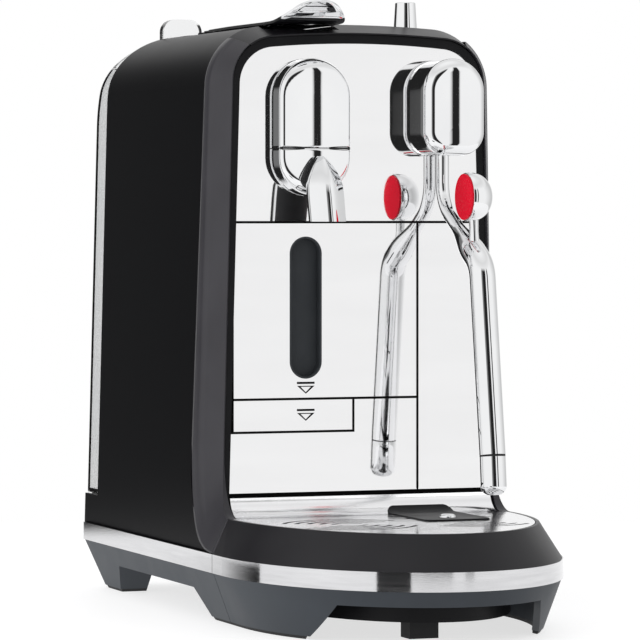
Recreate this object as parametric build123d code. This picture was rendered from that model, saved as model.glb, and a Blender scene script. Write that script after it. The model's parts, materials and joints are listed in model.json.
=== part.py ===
from build123d import *

import os
from math import cos, radians, sin

# A pod coffee machine with a lever, a brew head, a steam wand and a pull-out front base.
# Millimetres, +Z up, front at -Y, the viewer's right at +X. Heights below are measured from
# a datum a little above the worktop. main() raises every part by LIFT, so the exported
# machine stands on Z = 0 and its origin is the middle of the bounding box's underside.

# ---- Driving dimensions ----------------------------------------------------------------
# Base
BASE_HALF = 85.0            # half of the width over the steel band
BASE_REAR = 183.0           # the band's rear edge; the nose reaches the same distance forward
NOSE_Y = -63.0              # where the straight sides end and the half-elliptical nose starts
SPLIT_Y = -48.0             # joint between the body and the pull-out front base
SPLIT_GAP = 0.5             # daylight along that joint
LIFT = 3.4                  # from the worktop up to the datum
FLOOR = -LIFT               # the worktop, seen from the datum
PAD_TOP = -1.8              # rubber feet
FOOT_TOP = 12.0             # underside of the plinth between the side feet
FRONT_ARCH_TOP = 15.2       # underside of the plinth between the front feet
ARCH_X = -5.0               # middle of the front arch
ARCH_HALF_LOW = 57.0        # half of the front arch's width at the floor
ARCH_HALF_HIGH = 50.6       # and under the plinth
PLINTH_TOP = 22.9
BAND_TOP = 32.3
PLINTH_INSET_TOP = 0.7
PLINTH_INSET_LOW = 9.8
APRON_TOP = 49.6
APRON_HALF_TOP = 76.5
APRON_NOSE_Y_TOP = -48.0
APRON_FRONT_TOP = -171.0

# Body
BODY_HALF_LOW = 82.5        # half-width where the body meets the band
BODY_DRAFT = 0.0257         # half-width lost for each millimetre of height
SHOULDER_Z = 296.0
CROWN_Z = 300.0
BODY_CORNER = 31.0
WRAP_FRONT_TOP = -11.6      # front edge of the painted wrap, at the top
WRAP_FRONT_LOW = -3.6       # and where the sweep at the foot starts
SWEEP_TOP = 72.0            # height of that start
SWEEP_MIDDLE = (-15.7, 45.8)
SWEEP_TOE = -41.0           # where the sweep meets the band
FRAME_STEP = -12.0          # where the front frame starts to taper
FRAME_BACK = -2.0           # rearmost point of the front frame
BODY_REAR = 157.0           # rear edge of the wrap, in front of the clear tank
REAR_CORNER = 42.0
LOWER_REAR = 180.0          # rear face below the tank
TANK_FLOOR = 48.0
WALL = 2.0

# Front frame and panels
FRAME_FRONT = -32.0
FRAME_INSET = 7.5
FRAME_INSET_TOP = 5.0
STRIP_SIDE = 4.3            # black strip between frame and panels
STRIP_TOP = 5.4
PANEL_Y = -30.0             # front face of the polished panels
PANEL_THICK = 1.2
PANEL_LOW = 61.0
SEAM = 0.9                  # black gap between neighbouring panels
UPPER_SEAM_Z = 198.3
COLUMN_SEAM_X = 32.5
LOWER_SEAM_Z = 108.4
LEDGE_SEAM_X = -2.7
LEDGE_LOW_Z = 91.7
BULKHEAD_BACK = -25.5

# Brew head and spout
HEAD_X = -27.6
HEAD_WIDTH = 39.0
HEAD_LOW = 211.6
HEAD_HIGH = 281.8
HEAD_FRONT = -44.3
HEAD_SEAM = 235.8
OUTLET_Z = 246.0            # height of the brew outlet and the capsule's axis
OUTLET_R = 5.0
SPOUT_LOW = 198.7
SPOUT_Y = -58.8
SPOUT_R = 9.2
RECESS_X = -28.6            # middle of the container's finger recess

# Steam head and wand
WAND_X = 43.0
STEAM_WIDTH = 33.0
STEAM_LOW = 232.3
STEAM_HIGH = 281.7
STEAM_FRONT = -59.0
PIVOT_Y = -38.4
PIVOT_Z = 243.0
BALL_R = 6.2
TUBE_R = 3.45
SLEEVE_R = 6.6
COLLAR = (-105.0, 82.6)
TIP = (-107.0, 62.4)
COLLAR_POINT = (WAND_X, *COLLAR)
KNOB_Y, KNOB_Z, KNOB_R = -79.9, 211.1, 12.3
KNOB_LEFT, KNOB_RIGHT = 37.7, 52.0
UPPER_BEND = (-38.4, 207.8)
LOWER_BEND = (-91.2, 176.8)

# Top
LEVER_X = -28.0
LEVER_WIDTH = 37.0
LEVER_PIVOT_Y = 78.0
LEVER_PIVOT_Z = 296.6
LEVER_TIP_Y = -51.2
PIN_R = 1.2
DECK_LEFT, DECK_RIGHT = -53.0, 60.0
DECK_FRONT, DECK_REAR = -11.2, 100.0
RECESS_Z = 295.6            # floor of the lever's recess
NOTCH_Z = 296.8             # floor of the notch in the front frame, under the lever's tip
DIAL_X, DIAL_Y = 39.5, 5.0
DIAL_TOP = 313.0
BUTTON_X, BUTTON_Y = 42.0, 58.0

# Tank
BAY_WALL_Y = 137.0          # rear face of the wall in front of the tank
TANK_FRONT = 140.5
TANK_REAR = 178.0
TANK_HALF_IN = 55.0         # half-width of the tank's part that reaches into the body
TANK_MOUTH = 282.0
TANK_TOP = 294.0
TANK_CORNER = 44.0
TANK_WALL = 2.2
VALVE_Y = 150.0

FIT = 0.3                   # clearance between pieces that move past each other
SCREWS = ((-66, 4), (66, 4), (-66, 160), (66, 160))
SCREW_R = 1.6
SCREW_HEAD_R = 3.4
CHASSIS_FLOOR = 25.0        # upper face of the chassis floor
HOSE_R = 2.6


# ---- Helpers ---------------------------------------------------------------------------
def slab(x0, x1, y0, y1, z0, z1):
    """A box given by its low and high corners."""
    return Pos((x0 + x1) / 2, (y0 + y1) / 2, (z0 + z1) / 2) * Box(x1 - x0, y1 - y0, z1 - z0)


def facing(y, x=0.0, z=0.0):
    """A plane that faces the front: its own x is the machine's X and its own y is Z."""
    return Plane(origin=(x, y, z), x_dir=(1, 0, 0), z_dir=(0, -1, 0))


def sideways(x):
    """A plane that faces right: its own x is the machine's Y and its own y is Z."""
    return Plane(origin=(x, 0, 0), x_dir=(0, 1, 0), z_dir=(1, 0, 0))


def side_prism(points, x0, x1):
    """A prism along X from a closed outline of (Y, Z) points."""
    return extrude(sideways(x0) * make_face(Polyline(*points, close=True)), x1 - x0)


def front_prism(points, y, depth):
    """A prism from y towards the front, from a closed outline of (X, Z) points."""
    return extrude(facing(y) * make_face(Polyline(*points, close=True)), depth)


def rod(start, end, radius):
    """A round bar between two points."""
    way = Vector(*end) - Vector(*start)
    return extrude(Plane(origin=start, z_dir=way) * Circle(radius), way.length)


def tube(points, radii, radius):
    """A round bar along straight runs joined by tangent arcs."""
    path = FilletPolyline(*points, radius=radii)
    start = Plane(origin=path @ 0, z_dir=path % 0)
    return sweep(start * Circle(radius), path=path)


def pill(x, width, low, high, y_back, y_front, inset=0.0):
    """A stadium seen from the front, standing from y_back out to y_front."""
    outline = Rot(0, 0, 90) * SlotOverall(high - low - 2 * inset, width - 2 * inset)
    return extrude(facing(y_back, x, (low + high) / 2) * outline, y_back - y_front)


def half_width(z):
    """Half of the drafted body's width at a height."""
    return BODY_HALF_LOW - BODY_DRAFT * (z - BAND_TOP)


def body_outline(y, side=0.0, top=0.0, low=BAND_TOP):
    """The body seen from the front: drafted sides, round shoulders and a crowned top."""
    foot = (half_width(low) - side, low)
    shoulder = (half_width(SHOULDER_Z) - side, SHOULDER_Z - top)
    sides = Polyline((-shoulder[0], shoulder[1]), (-foot[0], foot[1]), foot, shoulder)
    crown = ThreePointArc(shoulder, (0, CROWN_Z - top), (-shoulder[0], shoulder[1]))
    face = make_face((sides + crown).edges())
    face = fillet(face.vertices().group_by(Axis.Y)[-1], BODY_CORNER - side)
    return facing(y) * face


def body_solid(y0, y1, side=0.0, top=0.0, low=BAND_TOP):
    """The body's outline carried straight from y0 back to y1."""
    return extrude(body_outline(y1, side, top, low), y1 - y0)


def base_outline(z, half, nose_y, front, rear):
    """The base seen from above: straight sides, round rear corners, half-elliptical nose."""
    sides = Polyline((-half, nose_y), (-half, rear), (half, rear), (half, nose_y))
    nose = EllipticalCenterArc((0, nose_y), half, nose_y - front, 180, arc_size=180)
    face = make_face((sides + nose).edges())
    face = fillet(face.vertices().group_by(Axis.Y)[-1], 10.0)
    return Pos(0, 0, z) * face


def inset_outline(z, inset):
    """The base outline, drawn in by an inset all round."""
    return base_outline(z, BASE_HALF - inset, NOSE_Y, inset - BASE_REAR, BASE_REAR - inset)


def base_taper(z0, inset0, z1, inset1):
    """A solid between two inset base outlines."""
    return loft([inset_outline(z0, inset0), inset_outline(z1, inset1)], ruled=True)


def plinth_inset(z):
    """How far the tapered plinth stands in from the band at a height."""
    share = (z - PAD_TOP) / (PLINTH_TOP - PAD_TOP)
    return PLINTH_INSET_LOW + share * (PLINTH_INSET_TOP - PLINTH_INSET_LOW)


def rear_half(solid):
    """The part of a base solid that belongs to the body."""
    return solid & slab(-100, 100, SPLIT_Y + SPLIT_GAP / 2, 200, -10, 70)


def front_half(solid):
    """The part of a base solid that belongs to the pull-out front base."""
    return solid & slab(-100, 100, -200, SPLIT_Y - SPLIT_GAP / 2, -10, 70)


# ---- Base of the body ------------------------------------------------------------------
def screw_group(radius, z0, z1):
    """One round bar at each housing screw."""
    bars = Part()
    for x, y in SCREWS:
        bars += rod((x, y, z0), (x, y, z1), radius)
    return bars


def base_plinth():
    """Tapered plastic skirt with a floor; the front is open for the pull-out base."""
    outer = base_taper(FOOT_TOP, plinth_inset(FOOT_TOP), PLINTH_TOP, PLINTH_INSET_TOP)
    inner = base_taper(FOOT_TOP - 1, 13.0, PLINTH_TOP - 3.0, 6.0)
    bay = slab(-61, 61, -100, -30, 0, 40)
    return rear_half(outer) - inner - bay - screw_group(SCREW_R, 10, 30)


def foot_regions():
    """The four places where the body's feet stand, as solids from the worktop to the foot's top."""
    rear = side_prism([(138, FLOOR), (200, FLOOR), (200, FOOT_TOP), (123, FOOT_TOP)], -90, 90)
    rear -= slab(-60, 60, 110, 200, -10, 20)
    front = side_prism([(-60, FLOOR), (-20.5, FLOOR), (-4.8, FOOT_TOP), (-60, FOOT_TOP)], -90, 90)
    front -= slab(-62, 62, -70, 10, -10, 20)
    return rear + front


def base_feet():
    """Four blocks that carry on the plinth's taper down to the rubber pads."""
    block = base_taper(PAD_TOP, PLINTH_INSET_LOW, FOOT_TOP, plinth_inset(FOOT_TOP))
    return rear_half(block) & foot_regions()


def foot_pads():
    """Rubber pads under the body's feet."""
    block = base_taper(FLOOR, PLINTH_INSET_LOW + 1.4, PAD_TOP, PLINTH_INSET_LOW + 0.6)
    return rear_half(block) & foot_regions()


def base_band():
    """Polished steel band round the sides and rear."""
    ring = base_taper(PLINTH_TOP, 0, BAND_TOP, 0) - base_taper(PLINTH_TOP - 1, 1.0, BAND_TOP + 1, 1.0)
    return rear_half(ring)


def chassis_plate():
    """Moulded floor tray inside the band that carries the works."""
    block = base_taper(PLINTH_TOP, 1.0, BAND_TOP - 0.2, 1.0) & slab(-100, 100, -30, 200, 0, 60)
    hollow = base_taper(CHASSIS_FLOOR, 5.5, BAND_TOP + 1, 5.5) & slab(-100, 100, -25, 200, 0, 60)
    cheeks = base_taper(PLINTH_TOP, 1.0, BAND_TOP - 0.2, 1.0) & slab(-100, 100, -47, -30, 0, 60)
    floor = block - hollow - screw_group(SCREW_R, 20, 30)
    return floor + (cheeks - slab(-73, 73, -60, -30, 0, 60))


# ---- Casing ----------------------------------------------------------------------------
def wrap_profile(inset):
    """Side view of the wrap: front edge that sweeps forward at the foot, cut for the tank."""
    rear, top = BODY_REAR - inset, CROWN_Z + 1.5 - inset
    low_top = TANK_FLOOR - inset
    corner = REAR_CORNER - inset
    middle = (rear - corner, top - corner)
    mid_arc = (middle[0] + corner * cos(radians(45)), middle[1] + corner * sin(radians(45)))
    start = (WRAP_FRONT_LOW + inset, SWEEP_TOP)
    toe = (SWEEP_TOE + inset, BAND_TOP)
    lines = Polyline((middle[0], top), (WRAP_FRONT_TOP + inset, top), start)
    sweep_in = ThreePointArc(start, (SWEEP_MIDDLE[0] + inset, SWEEP_MIDDLE[1]), toe)
    floor = Polyline(toe, (LOWER_REAR - inset, BAND_TOP), (LOWER_REAR - inset, low_top),
                     (rear, low_top), (rear, middle[1]))
    corner_arc = ThreePointArc((rear, middle[1]), mid_arc, (middle[0], top))
    return make_face((lines + sweep_in + floor + corner_arc).edges())


def outer_wrap():
    """Painted shell over both sides and the top, open at the front, the rear and the deck."""
    shape = body_solid(-60, 200) & extrude(sideways(-100) * wrap_profile(0), 200)
    shape -= body_solid(-70, 210, WALL, WALL, BAND_TOP - 5)
    deck = slab(DECK_LEFT - FIT, DECK_RIGHT + FIT, WRAP_FRONT_TOP - 1, DECK_REAR + FIT, 270, 310)
    return shape - deck


def tank_bay():
    """Plastic back wall with the shelf that the tank stands on and the rear cover below it."""
    wall = body_solid(BAY_WALL_Y - 3, BAY_WALL_Y, WALL + 0.2, WALL + 0.2, TANK_FLOOR - 4)
    wall &= slab(-100, 100, 100, 150, 40, TANK_TOP)
    shelf = slab(-78.5, 78.5, BAY_WALL_Y, LOWER_REAR - 0.5, TANK_FLOOR - 4, TANK_FLOOR)
    cover = slab(-79, 79, LOWER_REAR - 3, LOWER_REAR - 0.5, BAND_TOP, TANK_FLOOR - 4)
    gland_hole = rod((-55, 170, 39), (-55, 190, 39), 6.0)
    valve_hole = rod((0, VALVE_Y, 30), (0, VALVE_Y, 60), 9.0)
    return wall + shelf + cover - gland_hole - valve_hole


def frame_ring():
    """The whole flared front frame before it is split into its three pieces."""
    outer = loft([body_outline(FRAME_STEP), body_outline(FRAME_FRONT, FRAME_INSET, FRAME_INSET_TOP)],
                 ruled=True)
    outer += body_solid(FRAME_STEP, FRAME_BACK)
    inner = loft([body_outline(FRAME_STEP + 0.1, WALL, WALL, BAND_TOP - 1),
                  body_outline(FRAME_FRONT - 0.1, FRAME_INSET + 0.8, FRAME_INSET_TOP + 0.8,
                               BAND_TOP - 1)], ruled=True)
    inner += body_solid(FRAME_STEP, FRAME_BACK + 1, WALL, WALL, BAND_TOP - 1)
    foot_low = base_outline(BAND_TOP, BODY_HALF_LOW + 0.6, NOSE_Y, -180, BASE_REAR)
    foot_high = base_outline(APRON_TOP, APRON_HALF_TOP, APRON_NOSE_Y_TOP, APRON_FRONT_TOP, BASE_REAR)
    foot = loft([foot_low, foot_high], ruled=True)
    foot &= slab(-100, 100, SPLIT_Y + SPLIT_GAP / 2, FRAME_BACK, 0, 80)
    foot -= slab(-71.6, 71.6, -60, 0, 0, 80)
    return (outer - inner + foot) - extrude(sideways(-100) * wrap_profile(-0.15), 200)


def arch_zone():
    """The zone above the frame's two corner splits."""
    return front_prism([(-90, 400), (-74, 300), (-50, 281), (50, 281), (74, 300), (90, 400)], 0, 80)


def bezel_top():
    """Top arch of the front frame, notched behind the lever's tip."""
    half = LEVER_WIDTH / 2 + 1.2
    notch = slab(LEVER_X - half, LEVER_X + half, -40, WRAP_FRONT_TOP + 1, NOTCH_Z, 310)
    return (frame_ring() & arch_zone()) - notch


def bezel_side(sign):
    """Left or right pillar of the front frame."""
    half = slab(0, 100, -60, 0, 0, 310) if sign > 0 else slab(-100, 0, -60, 0, 0, 310)
    return (frame_ring() - arch_zone()) & half


def inner_bezel():
    """Flat black strip between the front frame and the polished panels."""
    side, top = FRAME_INSET + 1.0, FRAME_INSET_TOP + 1.0
    outer = body_solid(PANEL_Y - 0.8, BULKHEAD_BACK - 1, side, top, 50.5)
    side, top = FRAME_INSET + STRIP_SIDE, FRAME_INSET_TOP + STRIP_TOP
    return outer - body_solid(PANEL_Y - 5, BULKHEAD_BACK + 5, side, top, 45)


def panel_area(low):
    """The polished area inside the black strip."""
    side, top = FRAME_INSET + STRIP_SIDE + 0.1, FRAME_INSET_TOP + STRIP_TOP + 0.1
    return body_solid(PANEL_Y, PANEL_Y + PANEL_THICK, side, top, low)


def panel_edge():
    """Half-width of the polished panels at mid-height, for straight cuts."""
    return half_width(160) - FRAME_INSET - STRIP_SIDE - 0.1


def window(x0, x1, z0, z1):
    """A cut through the panels and the wall behind them."""
    return slab(x0, x1, PANEL_Y - 5, BULKHEAD_BACK + 8, z0, z1)


def head_passages():
    """Holes through panel and bulkhead for the brew outlet and the steam bracket's arm."""
    outlet = rod((HEAD_X, -10, OUTLET_Z), (HEAD_X, -50, OUTLET_Z), OUTLET_R + 0.5)
    arm = slab(WAND_X - 8.4, WAND_X + 8.4, -40, -10, PIVOT_Z + 1.0, PIVOT_Z + 11.6)
    return outlet + arm


def upper_front_panel():
    """Polished panel that carries both heads."""
    sheet = panel_area(PANEL_LOW) & window(-90, 90, UPPER_SEAM_Z + SEAM / 2, 320)
    return sheet - head_passages()


def right_front_panel():
    """Polished column on the right, below the upper panel."""
    return panel_area(PANEL_LOW) & window(COLUMN_SEAM_X + SEAM / 2, 90, 0, UPPER_SEAM_Z - SEAM / 2)


def lower_front_panel():
    """Polished panel under the capsule container, cut away for the cup ledge."""
    sheet = panel_area(PANEL_LOW)
    sheet &= window(-90, COLUMN_SEAM_X - SEAM / 2, 0, LOWER_SEAM_Z - SEAM / 2)
    return sheet - window(-90, LEDGE_SEAM_X + SEAM / 2, LEDGE_LOW_Z - SEAM / 2, 120)


def front_bulkhead():
    """Black wall behind the panels, with bays for the container, the ledge and the heads."""
    side, top = FRAME_INSET + STRIP_SIDE - 0.2, FRAME_INSET_TOP + STRIP_TOP - 0.2
    back = body_solid(PANEL_Y + PANEL_THICK, BULKHEAD_BACK, side + 0.5, top + 0.5, 50.5)
    bays = window(-62.5, 29.5, 111.5, 194.5) + window(-62.5, -6.5, 93.2, 106.6)
    return back - bays - head_passages()


def top_deck():
    """Gloss black deck in the top, with the lever's recess and the capsule slot."""
    plate = body_solid(DECK_FRONT, DECK_REAR, 0.9, 0.9) & slab(DECK_LEFT, DECK_RIGHT, -50, 150, 291, 310)
    recess = slab(LEVER_X - LEVER_WIDTH / 2 - 1.2, LEVER_X + LEVER_WIDTH / 2 + 1.2,
                  DECK_FRONT - 1, LEVER_PIVOT_Y + 9, RECESS_Z, 310)
    bearing = slab(LEVER_X - 17.4, LEVER_X + 17.4, LEVER_PIVOT_Y - 6, LEVER_PIVOT_Y + 9, 280, 310)
    slot = slab(LEVER_X - 16, LEVER_X + 16, -1, 33, 280, 310)
    display = slab(26, 58, 22, 48, 296.0, 310)
    shaft = rod((DIAL_X, DIAL_Y, 280), (DIAL_X, DIAL_Y, 310), 3.4)
    button = rod((BUTTON_X, BUTTON_Y, 280), (BUTTON_X, BUTTON_Y, 310), 5.3)
    return plate - recess - slot - display - shaft - button - bearing + lever_ears() - lever_bar(20.0, PIN_R)


def lever_ears():
    """Two ears in the deck that hold the lever's pin."""
    ear = slab(-1.5, 1.5, LEVER_PIVOT_Y - 5.5, LEVER_PIVOT_Y + 5.5, 291, LEVER_PIVOT_Z + 2.4)
    return Pos(LEVER_X - 19.0, 0, 0) * ear + Pos(LEVER_X + 19.0, 0, 0) * ear


def display_window():
    """Dark glass over the small display."""
    return slab(26.2, 57.8, 22.2, 47.8, 296.1, 297.2)


# ---- Brew head -------------------------------------------------------------------------
def head_solid():
    """The whole pill-shaped brew head with its rounded front rim."""
    body = pill(HEAD_X, HEAD_WIDTH, HEAD_LOW, HEAD_HIGH, PANEL_Y - 1.2, HEAD_FRONT)
    rim = body.faces().sort_by(Axis.Y)[0].edges()
    return fillet(rim, 5.0)


def head_hollow():
    """Room inside the brew head."""
    return pill(HEAD_X, HEAD_WIDTH, HEAD_LOW, HEAD_HIGH, PANEL_Y + 2, HEAD_FRONT + 3, inset=3.0)


def brew_head_shell():
    """Upper cover of the brew head."""
    return (head_solid() - head_hollow()) & slab(-100, 100, -60, 0, HEAD_SEAM + 0.15, 300)


def brew_head_lower():
    """Lower cover of the brew head."""
    return (head_solid() - head_hollow()) & slab(-100, 100, -60, 0, 200, HEAD_SEAM - 0.15)


def brew_head_gasket():
    """Thin seal between the brew head and the panel."""
    ring = pill(HEAD_X, HEAD_WIDTH, HEAD_LOW, HEAD_HIGH, PANEL_Y, PANEL_Y - 1.2, inset=0.8)
    return ring - pill(HEAD_X, HEAD_WIDTH, HEAD_LOW, HEAD_HIGH, PANEL_Y + 1, PANEL_Y - 3, inset=3.5)


def coffee_spout():
    """Nose that grows out of the head's lower cover and ends in the coffee outlet."""
    top = Plane((HEAD_X, -49.0, 231.8)) * Ellipse(2.6, 6.0)
    upper = Plane((HEAD_X, -50.5, 225.5)) * Ellipse(6.2, 8.4)
    middle = Plane((HEAD_X, -54.0, 214.0)) * Ellipse(8.8, 9.6)
    low = Plane((HEAD_X, SPOUT_Y, SPOUT_LOW)) * Ellipse(SPOUT_R, SPOUT_R)
    nose = loft([low, middle, upper, top])
    nose -= rod((HEAD_X, SPOUT_Y, SPOUT_LOW - 1), (HEAD_X, SPOUT_Y, SPOUT_LOW + 9), 3.6)
    return nose - head_solid() - head_hollow()


# ---- Steam head and wand ---------------------------------------------------------------
def steam_outline(inset):
    """Front view of the steam head: half-round top and softly rounded lower corners."""
    half = STEAM_WIDTH / 2 - inset
    low, high = STEAM_LOW + inset, STEAM_HIGH - inset
    sides = Polyline((-half, high - half), (-half, low), (half, low), (half, high - half))
    arch = ThreePointArc((half, high - half), (0, high), (-half, high - half))
    face = make_face((sides + arch).edges())
    return fillet(face.vertices().group_by(Axis.Y)[0], 12.0 - inset)


def steam_head_shell():
    """Deep chrome cover over the wand's ball joint, slotted below for the wand."""
    body = extrude(facing(PANEL_Y - 1.0, WAND_X) * steam_outline(0), PANEL_Y - 1.0 - STEAM_FRONT)
    rim = body.faces().sort_by(Axis.Y)[0].edges()
    body = fillet(rim, 5.5)
    hollow = extrude(facing(PANEL_Y + 2, WAND_X) * steam_outline(2.5), PANEL_Y + 2 - STEAM_FRONT - 2.5)
    slot = slab(WAND_X - 4.5, WAND_X + 4.5, -52.4, PANEL_Y + 1, STEAM_LOW - 3, STEAM_LOW + 6)
    return body - hollow - slot


def steam_bracket():
    """Socket bolted to the bulkhead that holds the wand's ball."""
    arm = slab(WAND_X - 8, WAND_X + 8, PIVOT_Y - 1, BULKHEAD_BACK, PIVOT_Z + 1.4, PIVOT_Z + 11)
    plate = slab(WAND_X - 12, WAND_X + 12, BULKHEAD_BACK, BULKHEAD_BACK + 3, PIVOT_Z - 7, PIVOT_Z + 19)
    cheeks = slab(WAND_X - 9.5, WAND_X - 7, PIVOT_Y - 6, PIVOT_Y + 6.5, PIVOT_Z - 4, PIVOT_Z + 11)
    cheeks += slab(WAND_X + 7, WAND_X + 9.5, PIVOT_Y - 6, PIVOT_Y + 6.5, PIVOT_Z - 4, PIVOT_Z + 11)
    ball = Pos(WAND_X, PIVOT_Y, PIVOT_Z) * Sphere(BALL_R + FIT)
    bore = rod((WAND_X - 15, PIVOT_Y, PIVOT_Z), (WAND_X + 15, PIVOT_Y, PIVOT_Z), 2.05)
    return arm + plate + cheeks - ball - bore


def wand_ball():
    """Ball with two trunnions that the wand swings on."""
    ball = Pos(WAND_X, PIVOT_Y, PIVOT_Z) * Sphere(BALL_R)
    trunnions = rod((WAND_X - 9, PIVOT_Y, PIVOT_Z), (WAND_X + 9, PIVOT_Y, PIVOT_Z), 2.0)
    return ball + trunnions


def wand_points():
    """Centre line of the wand from the ball to the collar, in the plane of the wand."""
    return [(WAND_X, y, z) for y, z in ((PIVOT_Y, PIVOT_Z), UPPER_BEND, LOWER_BEND, COLLAR)]


def slant_point(share):
    """A point on the wand's slanted middle run."""
    start, end = Vector(*wand_points()[1]), Vector(*wand_points()[2])
    return start + (end - start) * share


def wand_tube():
    """Bare steel tube from the ball to the end of the upper bend."""
    points = wand_points()
    pipe = tube([points[0], points[1], tuple(slant_point(0.4))], 20.0, TUBE_R)
    return pipe - wand_ball()


def wand_sleeve():
    """Thicker cool-touch sleeve over the lower bend and the straight leg."""
    points = wand_points()
    start, neck = slant_point(0.4), slant_point(0.68)
    way = (neck - start).normalized()
    cone = loft([Plane(origin=start, z_dir=way) * Circle(TUBE_R + 0.4),
                 Plane(origin=neck, z_dir=way) * Circle(SLEEVE_R)])
    return cone + tube([tuple(neck), points[2], points[3]], 14.0, SLEEVE_R)


def wand_tip():
    """Removable round-ended steam tip below the collar."""
    way = (Vector(WAND_X, *TIP) - Vector(*COLLAR_POINT)).normalized()
    start = Vector(*COLLAR_POINT) + way * 0.4
    length = (Vector(WAND_X, *TIP) - start).length
    shape = extrude(Plane(origin=start, z_dir=way) * Circle(SLEEVE_R - 0.05), length)
    end_rim = shape.faces().sort_by(Axis.Z)[0].edges()
    return fillet(end_rim, 4.5)


def wand_knob():
    """Domed drum that the wand is swung by, on a stem from the wand's elbow."""
    back, edge = KNOB_LEFT + 0.8, KNOB_LEFT + 5.5
    outline = Polyline((KNOB_RIGHT, 0), (back, 0), (back, KNOB_R), (edge, KNOB_R))
    outline += Spline((edge, KNOB_R), (KNOB_RIGHT - 1.6, KNOB_R * 0.55), (KNOB_RIGHT, 0),
                      tangents=((1, 0), (0, -1)))
    drum = revolve(facing(KNOB_Y, 0, KNOB_Z) * make_face(outline.edges()),
                   Axis((0, KNOB_Y, KNOB_Z), (1, 0, 0)))
    stem = rod(tuple(slant_point(0.82)), (WAND_X, KNOB_Y, KNOB_Z - 6), 2.6)
    return drum + (stem - wand_sleeve())


def wand_knob_disc():
    """Red inlay on the knob's left face."""
    return rod((KNOB_LEFT, KNOB_Y, KNOB_Z), (KNOB_LEFT + 0.8, KNOB_Y, KNOB_Z), KNOB_R - 0.7)


# ---- Lever, capsule cage, dial and button ----------------------------------------------
def lever_outline():
    """Side view of the lever: flat strap that curls up over the front and ends rounded."""
    top = Spline((LEVER_PIVOT_Y + 6, 300.4), (30, 300.9), (-10, 300.8), (-31.5, 301.1), (-38, 302.5),
                 (-44.6, 306.0), (-50, 311.2))
    low = Spline((LEVER_TIP_Y, 310.1), (-46.0, 304.4), (-38.8, 300.4), (-31.8, 299.0),
                 (-10, 298.6), (30, 298.2), (LEVER_PIVOT_Y + 6, 297.4))
    ends = Line((-50, 311.2), (LEVER_TIP_Y, 310.1))
    ends += Line((LEVER_PIVOT_Y + 6, 297.4), (LEVER_PIVOT_Y + 6, 300.4))
    return make_face((top + low + ends).edges())


def lever_arm():
    """Ski-tip lever with its hinge barrel."""
    half = LEVER_WIDTH / 2
    strap = extrude(sideways(LEVER_X - half) * lever_outline(), LEVER_WIDTH)
    plan = Pos(LEVER_X, LEVER_TIP_Y + half) * Circle(half)
    plan += Pos(LEVER_X, (LEVER_TIP_Y + half + 90) / 2) * Rectangle(LEVER_WIDTH, 90 - LEVER_TIP_Y - half)
    strap &= extrude(Pos(0, 0, 280) * plan, 40)
    strap -= slab(LEVER_X - 20, LEVER_X - 17.0, LEVER_PIVOT_Y - 6.5, 100, 290, 310)
    strap -= slab(LEVER_X + 17.0, LEVER_X + 20, LEVER_PIVOT_Y - 6.5, 100, 290, 310)
    barrel = lever_bar(17.0, 3.1)
    return strap + barrel - lever_bar(30.0, PIN_R + 0.05)


def lever_bar(reach, radius):
    """A round bar on the lever's pivot, reaching the same way to each side."""
    left = (LEVER_X - reach, LEVER_PIVOT_Y, LEVER_PIVOT_Z)
    right = (LEVER_X + reach, LEVER_PIVOT_Y, LEVER_PIVOT_Z)
    return rod(left, right, radius)


def lever_pin():
    """Steel pin through the lever and the deck's two ears."""
    return lever_bar(20.0, PIN_R)


def brew_frame():
    """Square frame, open above and below, with the fixed capsule plate at its front."""
    outer = slab(HEAD_X - 21, HEAD_X + 21, -23, 74, 206, 284)
    inner = slab(HEAD_X - 17, HEAD_X + 17, -13, 70, 200, 290)
    plate = rod((HEAD_X, -13, OUTLET_Z), (HEAD_X, -9, OUTLET_Z), 14.5)
    outlet = rod((HEAD_X, -40, OUTLET_Z), (HEAD_X, -23, OUTLET_Z), OUTLET_R)
    return outer - inner + plate + outlet


def capsule_cage():
    """Cup that closes on the capsule and slides back when the lever is lifted."""
    cup = rod((HEAD_X, -8, OUTLET_Z), (HEAD_X, 34, OUTLET_Z), 15.5)
    hollow = rod((HEAD_X, -9, OUTLET_Z), (HEAD_X, 20, OUTLET_Z), 12.8)
    return cup - hollow


def selection_dial():
    """Slightly tapered metal dial with its shaft."""
    low = Plane((DIAL_X, DIAL_Y, 299.2)) * Circle(6.2)
    high = Plane((DIAL_X, DIAL_Y, DIAL_TOP)) * Circle(5.35)
    grip = loft([low, high])
    grip = chamfer(grip.faces().sort_by(Axis.Z)[-1].edges(), 0.4)
    return grip + rod((DIAL_X, DIAL_Y, 286), (DIAL_X, DIAL_Y, 300), 2.9)


def dial_encoder():
    """Rotary encoder under the deck that reads the dial."""
    can = slab(DIAL_X - 7, DIAL_X + 7, DIAL_Y - 7, DIAL_Y + 7, 279, 290.5)
    return can - rod((DIAL_X, DIAL_Y, 284), (DIAL_X, DIAL_Y, 300), 3.3)


def start_button():
    """Round push button on the deck, on a plunger that reaches its switch."""
    cap = rod((BUTTON_X, BUTTON_Y, 294.0), (BUTTON_X, BUTTON_Y, 299.6), 5.0)
    cap = fillet(cap.faces().sort_by(Axis.Z)[-1].edges(), 0.6)
    return cap + rod((BUTTON_X, BUTTON_Y, 288.5), (BUTTON_X, BUTTON_Y, 294.5), 2.0)


# ---- Works inside ----------------------------------------------------------------------
def brew_thermoblock():
    """Cast heater that brings brew water to heat, behind the brew frame."""
    block = slab(-50, -8, 76, 104, 214, 276)
    return block + rod((HEAD_X, 90, 206), (HEAD_X, 90, 214), 4.0)


def steam_boiler():
    """Heater that feeds the steam wand, on the right."""
    can = rod((38, 26, 210), (38, 26, 272), 20.0)
    flange = rod((38, 26, 272), (38, 26, 275), 23.0)
    return can + flange


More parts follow.
